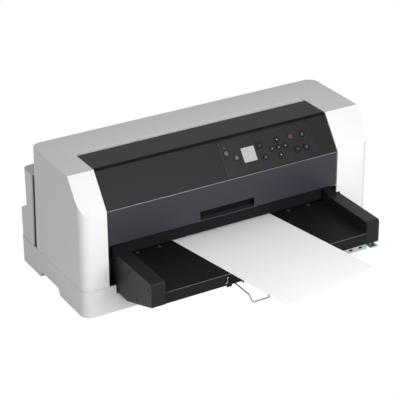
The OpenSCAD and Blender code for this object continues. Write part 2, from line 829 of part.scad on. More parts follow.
// One side guide, open underneath, drawn at the right
module side_guide() {
  x0 = half_floor;
  x1 = half_tray;
  difference() {
    profile_x(guide_profile(0), x0, x1);
    intersection() {
      translate([0, 0, -12]) profile_x(guide_profile(tray_t), x0 + 2.5, x1 - 2.5);
      box([x0, tray_front_y + tray_t, 0], [x1, guide_back_y - tray_t, guide_top_z - tray_t]);
    }
    profile_x([[guide_back_y - tray_t, guide_low_z - 2], [guide_back_y - tray_t,
      guide_top_z - tray_t], [tray_front_y + tray_t, guide_top_z - tray_t], [tray_front_y + tray_t,
      60], [tray_front_y + 35, 50], [tray_front_y + 97, 30]], x0 + 2.5, x1 - 2.5);
    // three upright slots in the outer face
    for (p = [[86.6, 108.8], [11.3, 107.3], [58, 65.1]])
      box([x1 - 2.5 - cut, tray_front_y + p[0] - 1.2, p[1] - 3.5],
        [x1 + cut, tray_front_y + p[0] + 1.2, p[1] + 3.5]);
  }
}

module left_guide() {
  color(black) mirror([1, 0, 0]) side_guide();
}

module right_guide() {
  color(black) side_guide();
}

module wire_support() {
  r = wire_d / 2;
  ball = r + 0.04;
  y1 = tray_front_y - wire_reach;
  y_bend = y1 + 14;
  z1 = wire_z - 9.5;
  drop = norm([14, 9.5]);
  color(steel) {
    for (k = [0, 1]) {
      x = wire_x + k * wire_span;
      rod_y(x, y_bend, tray_front_y + 31, wire_z, r);
      translate([x, y_bend, wire_z]) sphere(r = ball);
      translate([x, y_bend, wire_z]) rotate([90 + atan2(9.5, 14), 0, 0]) cylinder(r = r, h = drop);
      translate([x, y1, z1]) sphere(r = ball);
    }
    rod_x(wire_x, wire_x + wire_span, y1, z1, r);
  }
}

module wire_clip() {
  y = tray_front_y + 0.6;
  x = wire_x - 13.5;
  color([0.8, 0.8, 0.8]) {
    rod_z(x, y, tray_low_z + 8, path_z - 6, 0.9);
    translate([x, y, tray_low_z + 8]) rotate([0, -130, 0]) cylinder(r = 0.9, h = 5);
    translate([x, y, tray_low_z + 8]) sphere(r = 0.9);
  }
}

module tray_bracket() {
  y0 = tray_front_y + 12;
  x0 = half_floor - 61;
  color(steel) difference() {
    union() {
      box([x0, y0, 60], [half_floor - 1, y0 + 1.5, path_z - tray_t]);
      box([x0, y0, 60], [half_floor + 11, y0 + 1.5, 69]);
      box([x0, y0, 58.5], [half_floor + 11, y0 + 11, 60]);
    }
    for (d = [30, 52]) box([x0 + d, y0 - cut, 63], [x0 + d + 8, y0 + 3, 67]);
  }
  // pale tab that hangs from the right guide
  color([0.75, 0.75, 0.75]) {
    box([half_tray - 19, tray_front_y - 1, 65.5], [half_tray - 1, tray_front_y + 18, 68]);
    box([half_tray - 14, tray_front_y + 10, 68],
      [half_tray - 9, tray_front_y + 13, guide_top_z - tray_t]);
  }
}

module mouth_strip() {
  x0 = open_x0 + gap;
  x1 = open_x1 - gap;
  color(black) {
    box([x0, mouth_y, mouth_top_z], [x1, mouth_y + 2.5, window_z - 0.4]);
    box([x0, mouth_y, mouth_top_z], [x1, mouth_y + 12, mouth_top_z + 2.5]);
    // plate that closes the case beside the left guide
    box([x0, mouth_y, seam_z + 2], [-half_tray - 0.5, mouth_y + 2.5, mouth_top_z + 1]);
  }
}

// ---- frame ----

module chassis() {
  x1 = frame_x + 30;
  color(steel) {
    difference() {
      box([-x1, 12, pan_z], [x1, case_d - 12, pan_z + 2]);
      for (x = [-120, 0, 120]) box([x - 30, 22, pan_z - cut], [x + 30, 50, pan_z + 3]);
    }
    // folded edges at front and back
    box([-x1, 12, pan_z + 2], [x1, 14, pan_z + 12]);
    // supports of the tray floor
    for (sx = [-1, 1]) {
      box([sx * 100 - 12, 34, pan_z + 2], [sx * 100 + 12, 36, path_z - tray_t - 2]);
      box([sx * 100 - 12, 34, path_z - tray_t - 2], [sx * 100 + 12, 44, path_z - tray_t]);
    }
  }
}

// One steel side frame, drawn at the right
module side_frame() {
  x0 = frame_x;
  x1 = frame_x + frame_t;
  z0 = pan_z + 2;
  difference() {
    union() {
      profile_x([[26, z0], [26, 110], [50, 176], [200, 176], [214, 150], [frame_back_y, 112],
        [frame_back_y, z0]], x0, x1);
      box([x0 - 10, 30, z0], [x0, frame_back_y - 6, z0 + 2]);
      // shelf of the belt pulley
      box([pulley_x - 14, pulley_y - 14, bracket_z], [x0, pulley_y + 14, bracket_z + 1.7]);
    }
    for (y = [front_roll_y, rear_roll_y]) rod_x(x0 - cut, x1 + cut, y, roll_z, roll_shaft_r + run);
    rod_x(x0 - cut, x1 + cut, front_roll_y, pinch_z, pinch_shaft_r + run);
    rod_x(x0 - cut, x1 + cut, shaft_y, shaft_z, shaft_r + run);
    rod_x(x0 - cut, x1 + cut, tractor_y, tractor_z, 4.2 + run);
    rod_x(x0 - cut, x1 + cut, idler_y, roll_z, 4 + run);
    rod_z(pulley_x, pulley_y, bracket_z - cut, bracket_z + 3, 2.5 + run);
  }
}

module side_frames() {
  color(steel) both_sides() side_frame();
}

module platen() {
  hx = frame_x - gap;
  color([0.2, 0.2, 0.2]) union() {
    box([-hx, print_y - 8, path_z - 40], [hx, print_y + 8, path_z - 8.2]);
    rod_x(-hx, hx, print_y, path_z - 8.2, 8);
    // paper plates in front of the platen and behind it
    box([-hx, front_roll_y + roll_r + 2, path_z - 2], [hx, print_y - 3, path_z - 0.6]);
    box([-hx, print_y + 3, path_z - 2], [hx, rear_roll_y - roll_r - 2, path_z - 0.6]);
    box([-hx, rear_roll_y + roll_r + 2, path_z - 2], [hx, tractor_y - 24, path_z - 0.6]);
  }
}

// ---- feed works ----

function spots(n, pitch) = [for (i = [0 : n - 1]) (i - (n - 1) / 2) * pitch];

module roller(y, z, shaft, r, length, x0, x1) {
  color(steel) rod_x(x0, x1, y, z, shaft);
  color(rubber) for (x = spots(roll_count, roll_pitch)) difference() {
    rod_x(x - length / 2, x + length / 2, y, z, r);
    rod_x(x - length / 2 - cut, x + length / 2 + cut, y, z, shaft);
  }
}

module front_feed_roller() {
  roller(front_roll_y, roll_z, roll_shaft_r, roll_r, 30, -frame_x - 6, gear_x + gear_t + 3);
}

module rear_feed_roller() {
  roller(rear_roll_y, roll_z, roll_shaft_r, roll_r, 30, -frame_x - 6, gear_x + gear_t + 3);
}

module pinch_rollers() {
  roller(front_roll_y, pinch_z, pinch_shaft_r, pinch_r, 24, -frame_x - 4, frame_x + 4);
}

// A gear on an X axis at distance y, turned by a
module gear_at(y, n, a, t, bore) {
  translate([gear_x, y, roll_z]) rotate([90, 0, 90]) rotate(a) spur_gear(n, gear_m, t, bore);
}

module front_gear() {
  color([0.9, 0.9, 0.86]) gear_at(front_roll_y, gear_teeth, 0, gear_t, roll_shaft_r);
}

module rear_gear() {
  color([0.9, 0.9, 0.86]) gear_at(rear_roll_y, gear_teeth, 0, gear_t, roll_shaft_r);
}

module idler_gear() {
  color([0.9, 0.9, 0.86]) {
    gear_at(idler_y, pinion_teeth, 180 / pinion_teeth, gear_t, 0);
    rod_x(frame_x - 3, gear_x, idler_y, roll_z, 4);
  }
}

motor_x = gear_x + gear_t + 5;

module motor_pinion() {
  color([0.75, 0.65, 0.35]) {
    gear_at(pinion_y, pinion_teeth, 180 / pinion_teeth, gear_t + 2, 2.5);
    rod_x(gear_x, motor_x + 10, pinion_y, roll_z, 2.5);
  }
}

module feed_motor() {
  color([0.25, 0.25, 0.27]) {
    difference() {
      union() {
        rod_x(motor_x + 2, half_w - wall - 2, pinion_y, roll_z, 20);
        box([motor_x, pinion_y - 8, roll_z - 34], [motor_x + 2, pinion_y + 8, roll_z + 34]);
      }
      rod_x(motor_x - cut, motor_x + 11, pinion_y, roll_z, 2.5 + run);
    }
    // stand-offs on the right side frame
    for (k = [-1, 1]) rod_x(frame_x + frame_t, motor_x, pinion_y, roll_z + k * 28, 4);
  }
}

// ---- printing works ----

module carriage_shaft() {
  color(steel) rod_x(-frame_x - frame_t, frame_x + frame_t, shaft_y, shaft_z, shaft_r);
}

module carriage_rail() {
  hx = frame_x - gap;
  z1 = shaft_z - 10;
  color(steel) {
    box([-hx, shaft_y + 24, z1 - 2], [hx, shaft_y + 36, z1]);
    box([-hx, shaft_y + 34, z1 - 20], [hx, shaft_y + 36, z1 - 2]);
  }
}

module carriage() {
  hx = carriage_w / 2;
  z1 = shaft_z - 10 + gap;
  color([0.16, 0.16, 0.17]) difference() {
    union() {
      box([-hx, head_back_y, shaft_z - 18], [hx, shaft_y + 20, shaft_z + 16]);
      box([-hx, shaft_y + 20, z1], [hx, shaft_y + 34, z1 + 3.5]);
      // clamp beside the belt's front run
      box([-9, shaft_y + 20, z1], [9, pulley_y - pulley_r - gap - belt_t - gap, belt_z + belt_w]);
      // cheeks at both sides of the head
      for (sx = [-1, 1]) box([sx * (hx - 2) - 2, print_y - 10, shaft_z - 10],
        [sx * (hx - 2) + 2, head_back_y, shaft_z + 16]);
    }
    rod_x(-hx - cut, hx + cut, shaft_y, shaft_z, shaft_r + run);
  }
}

module print_head() {
  hx = carriage_w / 2 - 5;
  color([0.7, 0.71, 0.72]) {
    box([-hx, print_y - 8, shaft_z - 14], [hx, head_back_y, shaft_z - 8]);
    box([-hx, head_back_y - 6, shaft_z - 8], [hx, head_back_y, shaft_z + 24]);
    // cooling fins
    for (k = [0 : 7]) box([-hx + k * (2 * hx - 2) / 7, print_y - 8, shaft_z - 8],
      [-hx + k * (2 * hx - 2) / 7 + 2, head_back_y - 6, shaft_z + 24]);
    // nose with the needles, reaching down to the ribbon
    profile_x([[print_y - 3, nose_z], [print_y + 3, nose_z], [print_y + 8, shaft_z - 14],
      [print_y - 8, shaft_z - 14]], -8, 8);
  }
}

module carriage_motor() {
  color([0.25, 0.25, 0.27]) difference() {
    rod_z(-pulley_x, pulley_y, bracket_z - 28, bracket_z, 19);
    rod_z(-pulley_x, pulley_y, bracket_z - 14, bracket_z + cut, 2.5 + run);
  }
}

// A pulley with two flanges and a stub shaft below
module pulley(x, z0) {
  rod_z(x, pulley_y, belt_z - 0.3, belt_z + belt_w + 0.3, pulley_r);
  rod_z(x, pulley_y, belt_z - 1.8, belt_z - 0.3, pulley_r + 3.5);
  rod_z(x, pulley_y, belt_z + belt_w + 0.3, belt_z + belt_w + 1.8, pulley_r + 3.5);
  rod_z(x, pulley_y, z0, belt_z - 1.8, 2.5);
}

module drive_pulley() {
  color([0.75, 0.65, 0.35]) pulley(-pulley_x, bracket_z - 13);
}

module idler_pulley() {
  color([0.9, 0.9, 0.86]) pulley(pulley_x, bracket_z - 2);
}

// Stadium outline of the belt at radius r
module belt_form(r) {
  box([-pulley_x, pulley_y - r, belt_z], [pulley_x, pulley_y + r, belt_z + belt_w]);
  for (sx = [-1, 1]) rod_z(sx * pulley_x, pulley_y, belt_z, belt_z + belt_w, r);
}

module carriage_belt() {
  r = pulley_r + gap;
  color(rubber) difference() {
    belt_form(r + belt_t);
    box([-pulley_x, pulley_y - r, belt_z - cut], [pulley_x, pulley_y + r, belt_z + belt_w + cut]);
    for (sx = [-1, 1]) rod_z(sx * pulley_x, pulley_y, belt_z - cut, belt_z + belt_w + cut, r);
  }
}

module ribbon_cartridge() {
  hx = ribbon_w / 2;
  color([0.12, 0.12, 0.13]) {
    difference() {
      box([-hx, cart_y[0], cart_z[0]], [hx, cart_y[1], cart_z[1]]);
      rod_z(knob_x, (cart_y[0] + cart_y[1]) / 2, cart_z[1] - 10, cart_z[1] + cut, 3 + run);
    }
    both_sides() {
      // arm that leads the ribbon to the printing line
      box([hx - 10, cart_y[1], cart_z[0] - 18], [hx, print_y + 8, cart_z[1] - 8]);
      box([hx - 10, print_y - 8, ribbon_z], [hx, print_y + 8, cart_z[0] - 18]);
      // seat tab towards the side frame
      box([hx, cart_y[0] + 22, cart_z[0] + 4], [frame_x - gap, cart_y[0] + 34, cart_z[0] + 10]);
    }
    // inked ribbon
    box([-hx + 10, print_y - 4, ribbon_z], [hx - 10, print_y + 4, ribbon_z + ribbon_t]);
  }
}

module ribbon_knob() {
  y = (cart_y[0] + cart_y[1]) / 2;
  color([0.3, 0.5, 0.75]) difference() {
    union() {
      rod_z(knob_x, y, cart_z[1] + gap, cart_z[1] + 8, knob_r);
      rod_z(knob_x, y, cart_z[1] - 9, cart_z[1] + 1, 3);
    }
    for (k = [0 : 11]) translate([knob_x, y, cart_z[1]]) rotate(k * 30)
      translate([knob_r + 0.6, 0, 0]) cylinder(r = 1.6, h = 10);
  }
}

// ---- electronics ----

board_z = pan_z + 8;
board_t = 1.6;
board_x = 46 - frame_x;
supply_x = frame_x - 196;

module main_board() {
  z1 = board_z + board_t;
  color([0.1, 0.35, 0.2]) {
    box([board_x, 60, board_z], [supply_x - 40, case_d - 8, z1]);
    for (x = [board_x + 8, supply_x - 48], y = [68, case_d - 32])
      rod_z(x, y, pan_z + 2, board_z, 3);
  }
  color([0.15, 0.15, 0.15]) {
    box([board_x + 70, 120, z1], [board_x + 100, 150, board_z + 5]);
    box([board_x + 130, 110, z1], [board_x + 154, 134, board_z + 5]);
    box([board_x + 40, 190, z1], [board_x + 48, 226, board_z + 9]);
    box([supply_x - 100, 170, z1], [supply_x - 92, 206, board_z + 9]);
  }
  color([0.3, 0.3, 0.5]) for (k = [0 : 3])
    rod_z(board_x + 20 + k * 22, 80, z1, board_z + 20, 7);
}

module power_supply() {
  color(steel) difference() {
    box([supply_x, 60, pan_z + 2], [supply_x + 170, 220, pan_z + 36]);
    for (k = [0 : 9]) box([supply_x + 14 + k * 15, 80, pan_z + 34.5],
      [supply_x + 20 + k * 15, 200, pan_z + 37]);
  }
}

// ---- tractors ----

tractor_z = path_z - sprocket_r;

module tractor_shaft() {
  color(steel) {
    rod_x(-frame_x - frame_t - 2, gear_x + gear_t + 3, tractor_y, tractor_z, 4.2);
  }
  color([0.3, 0.3, 0.32]) for (sx = [-1, 1]) difference() {
    union() {
      rod_x(sx * tractor_x - 4, sx * tractor_x + 4, tractor_y, tractor_z, sprocket_r - 0.5);
      rod_x(sx * tractor_x - 11, sx * tractor_x + 11, tractor_y, tractor_z, 6.5);
      for (k = [0 : 5]) translate([sx * tractor_x, tractor_y, tractor_z])
        rotate([k * 60 + 30, 0, 0]) translate([0, 0, sprocket_r - 3]) cylinder(r = 1.6, h = 4.2);
    }
    rod_x(sx * tractor_x - 12, sx * tractor_x + 12, tractor_y, tractor_z, 4.2);
  }
  color([0.9, 0.9, 0.86]) gear_at(tractor_y, gear_teeth, 0, gear_t, 4.2);
}

// One tractor, drawn at the right: two cheeks around the sprocket, a floor and a lid
module tractor() {
  x = tractor_x;
  y0 = tractor_y - 22;
  y1 = tractor_y + 16;
  difference() {
    union() {
      for (sx = [-1, 1]) box([x + sx * 8 - 2, y0, tractor_z - 20], [x + sx * 8 + 2, y1, path_z + 8]);
      box([x - 7, y0, tractor_z - 20], [x + 7, y1, tractor_z - 17]);
      box([x - 7, y0, path_z + 5], [x + 7, y1, path_z + 8]);
    }
    rod_x(x - 13, x + 13, tractor_y, tractor_z, 6.5 + run);
    // slot in the inner cheek that the paper's edge passes
    box([x - 13, y0 - cut, path_z - 0.6], [x - 5, y1 + cut, path_z + 2]);
  }
}

module tractors() {
  color([0.2, 0.2, 0.22]) both_sides() tractor();
}

// ---- paper ----

module paper_sheet() {
  // front left corner of the sheet
  corner = [-57.3, -case_d];
  color([0.96, 0.96, 0.96]) translate([corner[0], corner[1], sheet_z]) rotate([0, 0, sheet_turn])
    cube([sheet_w, sheet_l, sheet_t]);
}

lower_case();
upper_case();
rear_housing();
rear_cover();
rubber_feet();
case_screws();
ac_inlet();
interface_ports();
top_cover();
front_window();
trim_strip();
control_panel();
display_lens();
power_button();
home_button();
back_button();
menu_button();
up_button();
down_button();
left_button();
right_button();
ok_button();
stop_button();
load_button();
tear_off_button();
line_feed_button();
paper_tray();
left_guide();
right_guide();
wire_support();
wire_clip();
tray_bracket();
mouth_strip();
mouth_rollers();
chassis();
side_frames();
platen();
front_feed_roller();
rear_feed_roller();
pinch_rollers();
feed_motor();
motor_pinion();
front_gear();
rear_gear();
idler_gear();
carriage_shaft();
carriage_rail();
carriage();
print_head();
carriage_motor();
drive_pulley();
idler_pulley();
carriage_belt();
ribbon_cartridge();
ribbon_knob();
main_board();
power_supply();
tractor_shaft();
tractors();
paper_sheet();
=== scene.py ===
import json
import math
import bmesh
import bpy
import numpy as np
from mathutils import Matrix, Vector


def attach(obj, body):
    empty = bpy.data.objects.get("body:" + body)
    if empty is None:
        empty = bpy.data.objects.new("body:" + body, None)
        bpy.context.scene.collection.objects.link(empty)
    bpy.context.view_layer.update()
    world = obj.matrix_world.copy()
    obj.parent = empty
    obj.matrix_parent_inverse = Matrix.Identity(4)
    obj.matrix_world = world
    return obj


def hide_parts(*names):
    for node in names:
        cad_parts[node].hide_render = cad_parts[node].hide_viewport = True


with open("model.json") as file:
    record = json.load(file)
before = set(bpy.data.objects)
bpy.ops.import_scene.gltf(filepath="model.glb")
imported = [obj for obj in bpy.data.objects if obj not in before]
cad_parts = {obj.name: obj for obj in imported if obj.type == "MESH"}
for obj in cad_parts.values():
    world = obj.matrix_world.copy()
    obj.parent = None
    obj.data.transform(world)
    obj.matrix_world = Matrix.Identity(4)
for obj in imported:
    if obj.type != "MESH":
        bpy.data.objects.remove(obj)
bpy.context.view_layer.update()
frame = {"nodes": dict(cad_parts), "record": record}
nodes = frame["nodes"]
bodyOfNode = {n: b for b, group in frame["record"]["behaviour"]["bodies"].items() for n in group}
mm = 0.001

cameraSettings = {"lens": 141.18, "sensor": 36.0, "place": (-1.38853, -2.28383, 1.50986),
                  "azimuth": -29.993, "elevation": 26.599, "roll": -0.473}


def placeCamera(s):
    az, el, roll = (math.radians(s[k]) for k in ("azimuth", "elevation", "roll"))
    forward = Vector((-math.sin(az) * math.cos(el), math.cos(az) * math.cos(el), -math.sin(el)))
    right = forward.cross(Vector((0, 0, 1))).normalized()
    up = right.cross(forward)
    r = right * math.cos(roll) + up * math.sin(roll)
    u = up * math.cos(roll) - right * math.sin(roll)
    data = bpy.data.cameras.new("camera")
    data.lens = s["lens"]
    data.sensor_width = s["sensor"]
    data.sensor_fit = "HORIZONTAL"
    data.clip_end = 50
    obj = bpy.data.objects.new("camera", data)
    bpy.context.scene.collection.objects.link(obj)
    m = Matrix((r, u, -forward)).transposed().to_4x4()
    m.translation = Vector(s["place"])
    obj.matrix_world = m
    bpy.context.scene.camera = obj


placeCamera(cameraSettings)
bpy.context.scene.view_settings.view_transform = "Standard"
print("camera placed")

lampSettings = {
    "key": {"place": (0.0, -1.25, 0.62), "target": (0.0, 0.0, 0.12), "size": (1.1, 0.5), "power": 14.5},
    "tray": {"place": (0.15, -0.75, 0.80), "target": (0.05, -0.15, 0.1), "size": (0.7, 0.4), "power": 2.9},
    "side": {"place": (-2.3, 0.1, 0.9), "target": (0.0, 0.0, 0.15), "size": (1.2, 1.2), "power": 6.0}}
worldSettings = {"ambient": 0.29, "seen": 1.0}


def addLamp(name, s):
    data = bpy.data.lights.new(name, "AREA")
    data.shape = "RECTANGLE"
    data.size, data.size_y = s["size"]
    data.energy = s["power"]
    obj = bpy.data.objects.new(name, data)
    bpy.context.scene.collection.objects.link(obj)
    obj.location = s["place"]
    obj.visible_camera = False
    obj.rotation_euler = (Vector(s["target"]) - Vector(s["place"])).to_track_quat("-Z", "Y").to_euler()


for lampName, lamp in lampSettings.items():
    addLamp(lampName + "Lamp", lamp)


def seenOrMirrored(tree):
    # 1 for a ray from the camera, or one that a gloss or a clear lens sends on
    path = tree.nodes.new("ShaderNodeLightPath")
    seen = path.outputs["Is Camera Ray"]
    for kind in ("Is Glossy Ray", "Is Transmission Ray"):
        total = tree.nodes.new("ShaderNodeMath")
        total.operation = "MAXIMUM"
        tree.links.new(seen, total.inputs[0])
        tree.links.new(path.outputs[kind], total.inputs[1])
        seen = total.outputs[0]
    return seen


def paintWorld(s):
    world = bpy.data.worlds.new("studio")
    world.use_nodes = True
    tree = world.node_tree
    background = tree.nodes["Background"]
    strength = tree.nodes.new("ShaderNodeMapRange")
    strength.inputs["To Min"].default_value = s["ambient"]
    strength.inputs["To Max"].default_value = s["seen"]
    tree.links.new(seenOrMirrored(tree), strength.inputs["Value"])
    tree.links.new(strength.outputs[0], background.inputs["Strength"])
    background.inputs["Color"].default_value = (1, 1, 1, 1)
    bpy.context.scene.world = world


paintWorld(worldSettings)

floorSettings = {"half": 6.0, "colour": 0.8, "rough": 0.9, "glow": 1.0}


def addFloor(s):
    mesh = bpy.data.meshes.new("floor")
    h = s["half"]
    mesh.from_pydata([(-h, -h, 0), (h, -h, 0), (h, h, 0), (-h, h, 0)], [], [(0, 1, 2, 3)])
    obj = bpy.data.objects.new("floor", mesh)
    bpy.context.scene.collection.objects.link(obj)
    mat = bpy.data.materials.new("studioFloor")
    mat.use_nodes = True
    tree = mat.node_tree
    shader = tree.nodes["Principled BSDF"]
    shader.inputs["Base Color"].default_value = (s["colour"],) * 3 + (1,)
    shader.inputs["Roughness"].default_value = s["rough"]
    shader.inputs["Specular IOR Level"].default_value = 0.0
    glow = tree.nodes.new("ShaderNodeEmission")
    mix = tree.nodes.new("ShaderNodeMixShader")
    share = tree.nodes.new("ShaderNodeMath")
    share.operation = "MULTIPLY"
    share.inputs[1].default_value = s["glow"]
    tree.links.new(seenOrMirrored(tree), share.inputs[0])
    tree.links.new(share.outputs[0], mix.inputs[0])
    tree.links.new(shader.outputs[0], mix.inputs[1])
    tree.links.new(glow.outputs[0], mix.inputs[2])
    tree.links.new(mix.outputs[0], tree.nodes["Material Output"].inputs["Surface"])
    mesh.materials.append(mat)


addFloor(floorSettings)
print("studio built")

finishes = {}
# shared by all finishes: noise of the drift and of the grain, the bump's strength, the coat's roughness
noiseSettings = {"drift": 9.0, "driftDetail": 3.0, "grainDetail": 2.0, "bump": 0.5, "coatRough": 0.08,
                 "leastRough": 0.02}


def finish(name, colour, rough=0.5, grain=900.0, depth=0.02, drift=0.04, metal=0.0, coat=0.0, sheen=0.0,
           level=0.5, brushed=None, roughDrift=0.06):
    # a slow noise makes the base colour drift; a fine one gives the moulded grain and uneven roughness
    s = noiseSettings
    mat = bpy.data.materials.new(name)
    mat.use_nodes = True
    tree = mat.node_tree
    link = tree.links.new
    shader = tree.nodes["Principled BSDF"]
    shader.inputs["Metallic"].default_value = metal
    shader.inputs["Coat Weight"].default_value = coat
    shader.inputs["Coat Roughness"].default_value = s["coatRough"]
    shader.inputs["Sheen Weight"].default_value = sheen
    shader.inputs["Specular IOR Level"].default_value = level
    place = tree.nodes.new("ShaderNodeTexCoord")
    stretch = tree.nodes.new("ShaderNodeMapping")
    stretch.inputs["Scale"].default_value = brushed or (1, 1, 1)
    link(place.outputs["Object"], stretch.inputs["Vector"])
    slow = tree.nodes.new("ShaderNodeTexNoise")
    slow.inputs["Scale"].default_value = s["drift"]
    slow.inputs["Detail"].default_value = s["driftDetail"]
    link(place.outputs["Object"], slow.inputs["Vector"])
    fine = tree.nodes.new("ShaderNodeTexNoise")
    fine.inputs["Scale"].default_value = grain
    fine.inputs["Detail"].default_value = s["grainDetail"]
    link(stretch.outputs["Vector"], fine.inputs["Vector"])
    tint = tree.nodes.new("ShaderNodeMix")
    tint.data_type = "RGBA"
    tint.inputs["A"].default_value = tuple(c * (1 - drift) for c in colour) + (1,)
    tint.inputs["B"].default_value = tuple(min(1.0, c * (1 + drift)) for c in colour) + (1,)
    link(slow.outputs["Fac"], tint.inputs["Factor"])
    link(tint.outputs["Result"], shader.inputs["Base Color"])
    gloss = tree.nodes.new("ShaderNodeMapRange")
    gloss.inputs["To Min"].default_value = max(s["leastRough"], rough - roughDrift)
    gloss.inputs["To Max"].default_value = min(1.0, rough + roughDrift)
    link(fine.outputs["Fac"], gloss.inputs["Value"])
    link(gloss.outputs[0], shader.inputs["Roughness"])
    bump = tree.nodes.new("ShaderNodeBump")
    bump.inputs["Strength"].default_value = s["bump"]
    bump.inputs["Distance"].default_value = depth * mm
    link(fine.outputs["Fac"], bump.inputs["Height"])
    link(bump.outputs["Normal"], shader.inputs["Normal"])
    finishes[name] = mat
    return mat


caseGrey = finish("caseGrey", (0.735, 0.74, 0.74), rough=0.5, grain=1500, depth=0.05, drift=0.012, level=0.25)
coverBlack = finish("coverBlack", (0.014, 0.014, 0.0145), rough=0.44, grain=1400, depth=0.05, drift=0.08,
                    level=0.12)
windowBlue = finish("windowBlue", (0.030, 0.030, 0.040), rough=0.34, grain=700, depth=0.01, drift=0.10,
                    level=0.25)
trimSilver = finish("trimSilver", (0.24, 0.245, 0.25), rough=0.4, grain=300, depth=0.02, metal=1.0,
                    brushed=(0.05, 1, 1))
panelBlack = finish("panelBlack", (0.012, 0.012, 0.0125), rough=0.36, grain=1800, depth=0.03, drift=0.06,
                    level=0.16)
screenPale = finish("screenPale", (0.36, 0.37, 0.367), rough=0.2, grain=2600, depth=0.004, drift=0.02,
                    coat=0.1)
keyBlack = finish("keyBlack", (0.007, 0.007, 0.0075), rough=0.34, grain=1500, depth=0.02, drift=0.08,
                  level=0.2)
keyGrey = finish("keyGrey", (0.030, 0.028, 0.027), rough=0.4, grain=1500, depth=0.02)
keyBlue = finish("keyBlue", (0.026, 0.031, 0.037), rough=0.32, grain=1500, depth=0.02)
keyOrange = finish("keyOrange", (0.075, 0.034, 0.022), rough=0.36, grain=1500, depth=0.02, level=0.25)
markWhite = finish("markWhite", (0.50, 0.51, 0.52), rough=0.6, grain=2000, depth=0.005, drift=0.02)
trayBlack = finish("trayBlack", (0.0085, 0.0085, 0.0088), rough=0.5, grain=1100, depth=0.06, drift=0.1,
                   level=0.08)
guideBlack = finish("guideBlack", (0.012, 0.012, 0.0125), rough=0.4, grain=1300, depth=0.05, drift=0.08,
                    level=0.15)
paperWhite = finish("paperWhite", (0.91, 0.91, 0.91), rough=0.9, grain=700, depth=0.02, drift=0.008,
                    level=0.1)
zincSteel = finish("zincSteel", (0.50, 0.51, 0.52), rough=0.36, grain=400, depth=0.03, metal=1.0,
                   drift=0.06, brushed=(0.08, 1, 1))
groundSteel = finish("groundSteel", (0.62, 0.63, 0.64), rough=0.14, grain=500, depth=0.01, metal=1.0,
                     brushed=(0.04, 1, 1))
brightWire = finish("brightWire", (0.30, 0.30, 0.30), rough=0.25, grain=500, depth=0.01, metal=1.0)
rubberBlack = finish("rubberBlack", (0.012, 0.012, 0.012), rough=0.8, grain=1200, depth=0.08, drift=0.15,
                     level=0.3)
nylonWhite = finish("nylonWhite", (0.66, 0.65, 0.60), rough=0.45, grain=900, depth=0.03, drift=0.03)
turnedBrass = finish("turnedBrass", (0.60, 0.44, 0.18), rough=0.28, grain=600, depth=0.02, metal=1.0,
                     brushed=(1, 0.1, 1))
motorBlack = finish("motorBlack", (0.02, 0.02, 0.022), rough=0.4, grain=500, depth=0.04, level=0.5)
castAlloy = finish("castAlloy", (0.42, 0.43, 0.44), rough=0.48, grain=800, depth=0.08, metal=1.0)
boardGreen = finish("boardGreen", (0.012, 0.075, 0.03), rough=0.35, grain=260, depth=0.03, drift=0.25)
ribbonInk = finish("ribbonInk", (0.008, 0.008, 0.010), rough=0.95, grain=2600, depth=0.10, sheen=0.4)
knobBlue = finish("knobBlue", (0.035, 0.12, 0.30), rough=0.4, grain=1200, depth=0.03)
bracketPlate = finish("bracketPlate", (0.40, 0.46, 0.43), rough=0.2, grain=350, depth=0.06, metal=0.85,
                      drift=0.25)
tabGrey = finish("tabGrey", (0.40, 0.40, 0.40), rough=0.35, grain=900, depth=0.03)
capBlue = finish("capBlue", (0.03, 0.05, 0.14), rough=0.3, grain=700, depth=0.01)
# painted shade: a darker black for the crease of the cover's bend
creaseShadeBlack = finish("creaseShadeBlack", (0.006, 0.006, 0.0062), rough=0.6, grain=1400, depth=0.03, level=0.05)
# painted highlight along the tray's broken front edge
rimHighlightGrey = finish("rimHighlightGrey", (0.12, 0.12, 0.122), rough=0.4, grain=1100, depth=0.02, level=0.3)
# dark grey of the two dots, and the painted shade along the left top edge
dotAndEdgeShadeGrey = finish("dotAndEdgeShadeGrey", (0.22, 0.225, 0.225), rough=0.6, grain=1500, depth=0.02, level=0.2)
# painted highlight for the lit outer side of the left guide
guideSideHighlight = finish("guideSideHighlight", (0.026, 0.026, 0.0265), rough=0.45, grain=1300, depth=0.05, drift=0.08,
                   level=0.2)
# painted highlight along the panel's broken edge
edgeHighlightGrey = finish("edgeHighlightGrey", (0.05, 0.05, 0.052), rough=0.4, grain=1500, depth=0.01, level=0.3)
# dark of the gaps round keys, panel and screen, and the painted shade in the window's finger cup
gapAndShadeBlack = finish("gapAndShadeBlack", (0.004, 0.004, 0.004), rough=0.9, grain=900, depth=0.02, level=0.1)
print("finishes mixed:", len(finishes))


def dress(obj, material, body):
    obj.data.materials.clear()
    obj.data.materials.append(material)
    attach(obj, body)
    return obj


def newPiece(name, verts, faces, material, body, smooth=True):
    mesh = bpy.data.meshes.new(name)
    faces = faces if isinstance(faces, list) else faces.tolist()
    mesh.from_pydata(np.asarray(verts, float).tolist(), [], faces)
    mesh.validate()
    mesh.shade_smooth() if smooth else mesh.shade_flat()
    obj = bpy.data.objects.new(name, mesh)
    bpy.context.scene.collection.objects.link(obj)
    bm = bmesh.new()
    bm.from_mesh(mesh)
    bmesh.ops.remove_doubles(bm, verts=bm.verts, dist=1e-7)
    bmesh.ops.recalc_face_normals(bm, faces=bm.faces)
    bm.to_mesh(mesh)
    bm.free()
    return dress(obj, material, body)


def gridFaces(rows, cols, wrapCols=False, offset=0):
    # quads that join each grid point to its neighbours, closed round the columns where asked
    i, j = np.meshgrid(np.arange(rows - 1), np.arange(cols if wrapCols else cols - 1), indexing="ij")
    j2 = (j + 1) % cols
    corners = [i * cols + j, (i + 1) * cols + j, (i + 1) * cols + j2, i * cols + j2]
    return np.stack(corners, -1).reshape(-1, 4) + offset


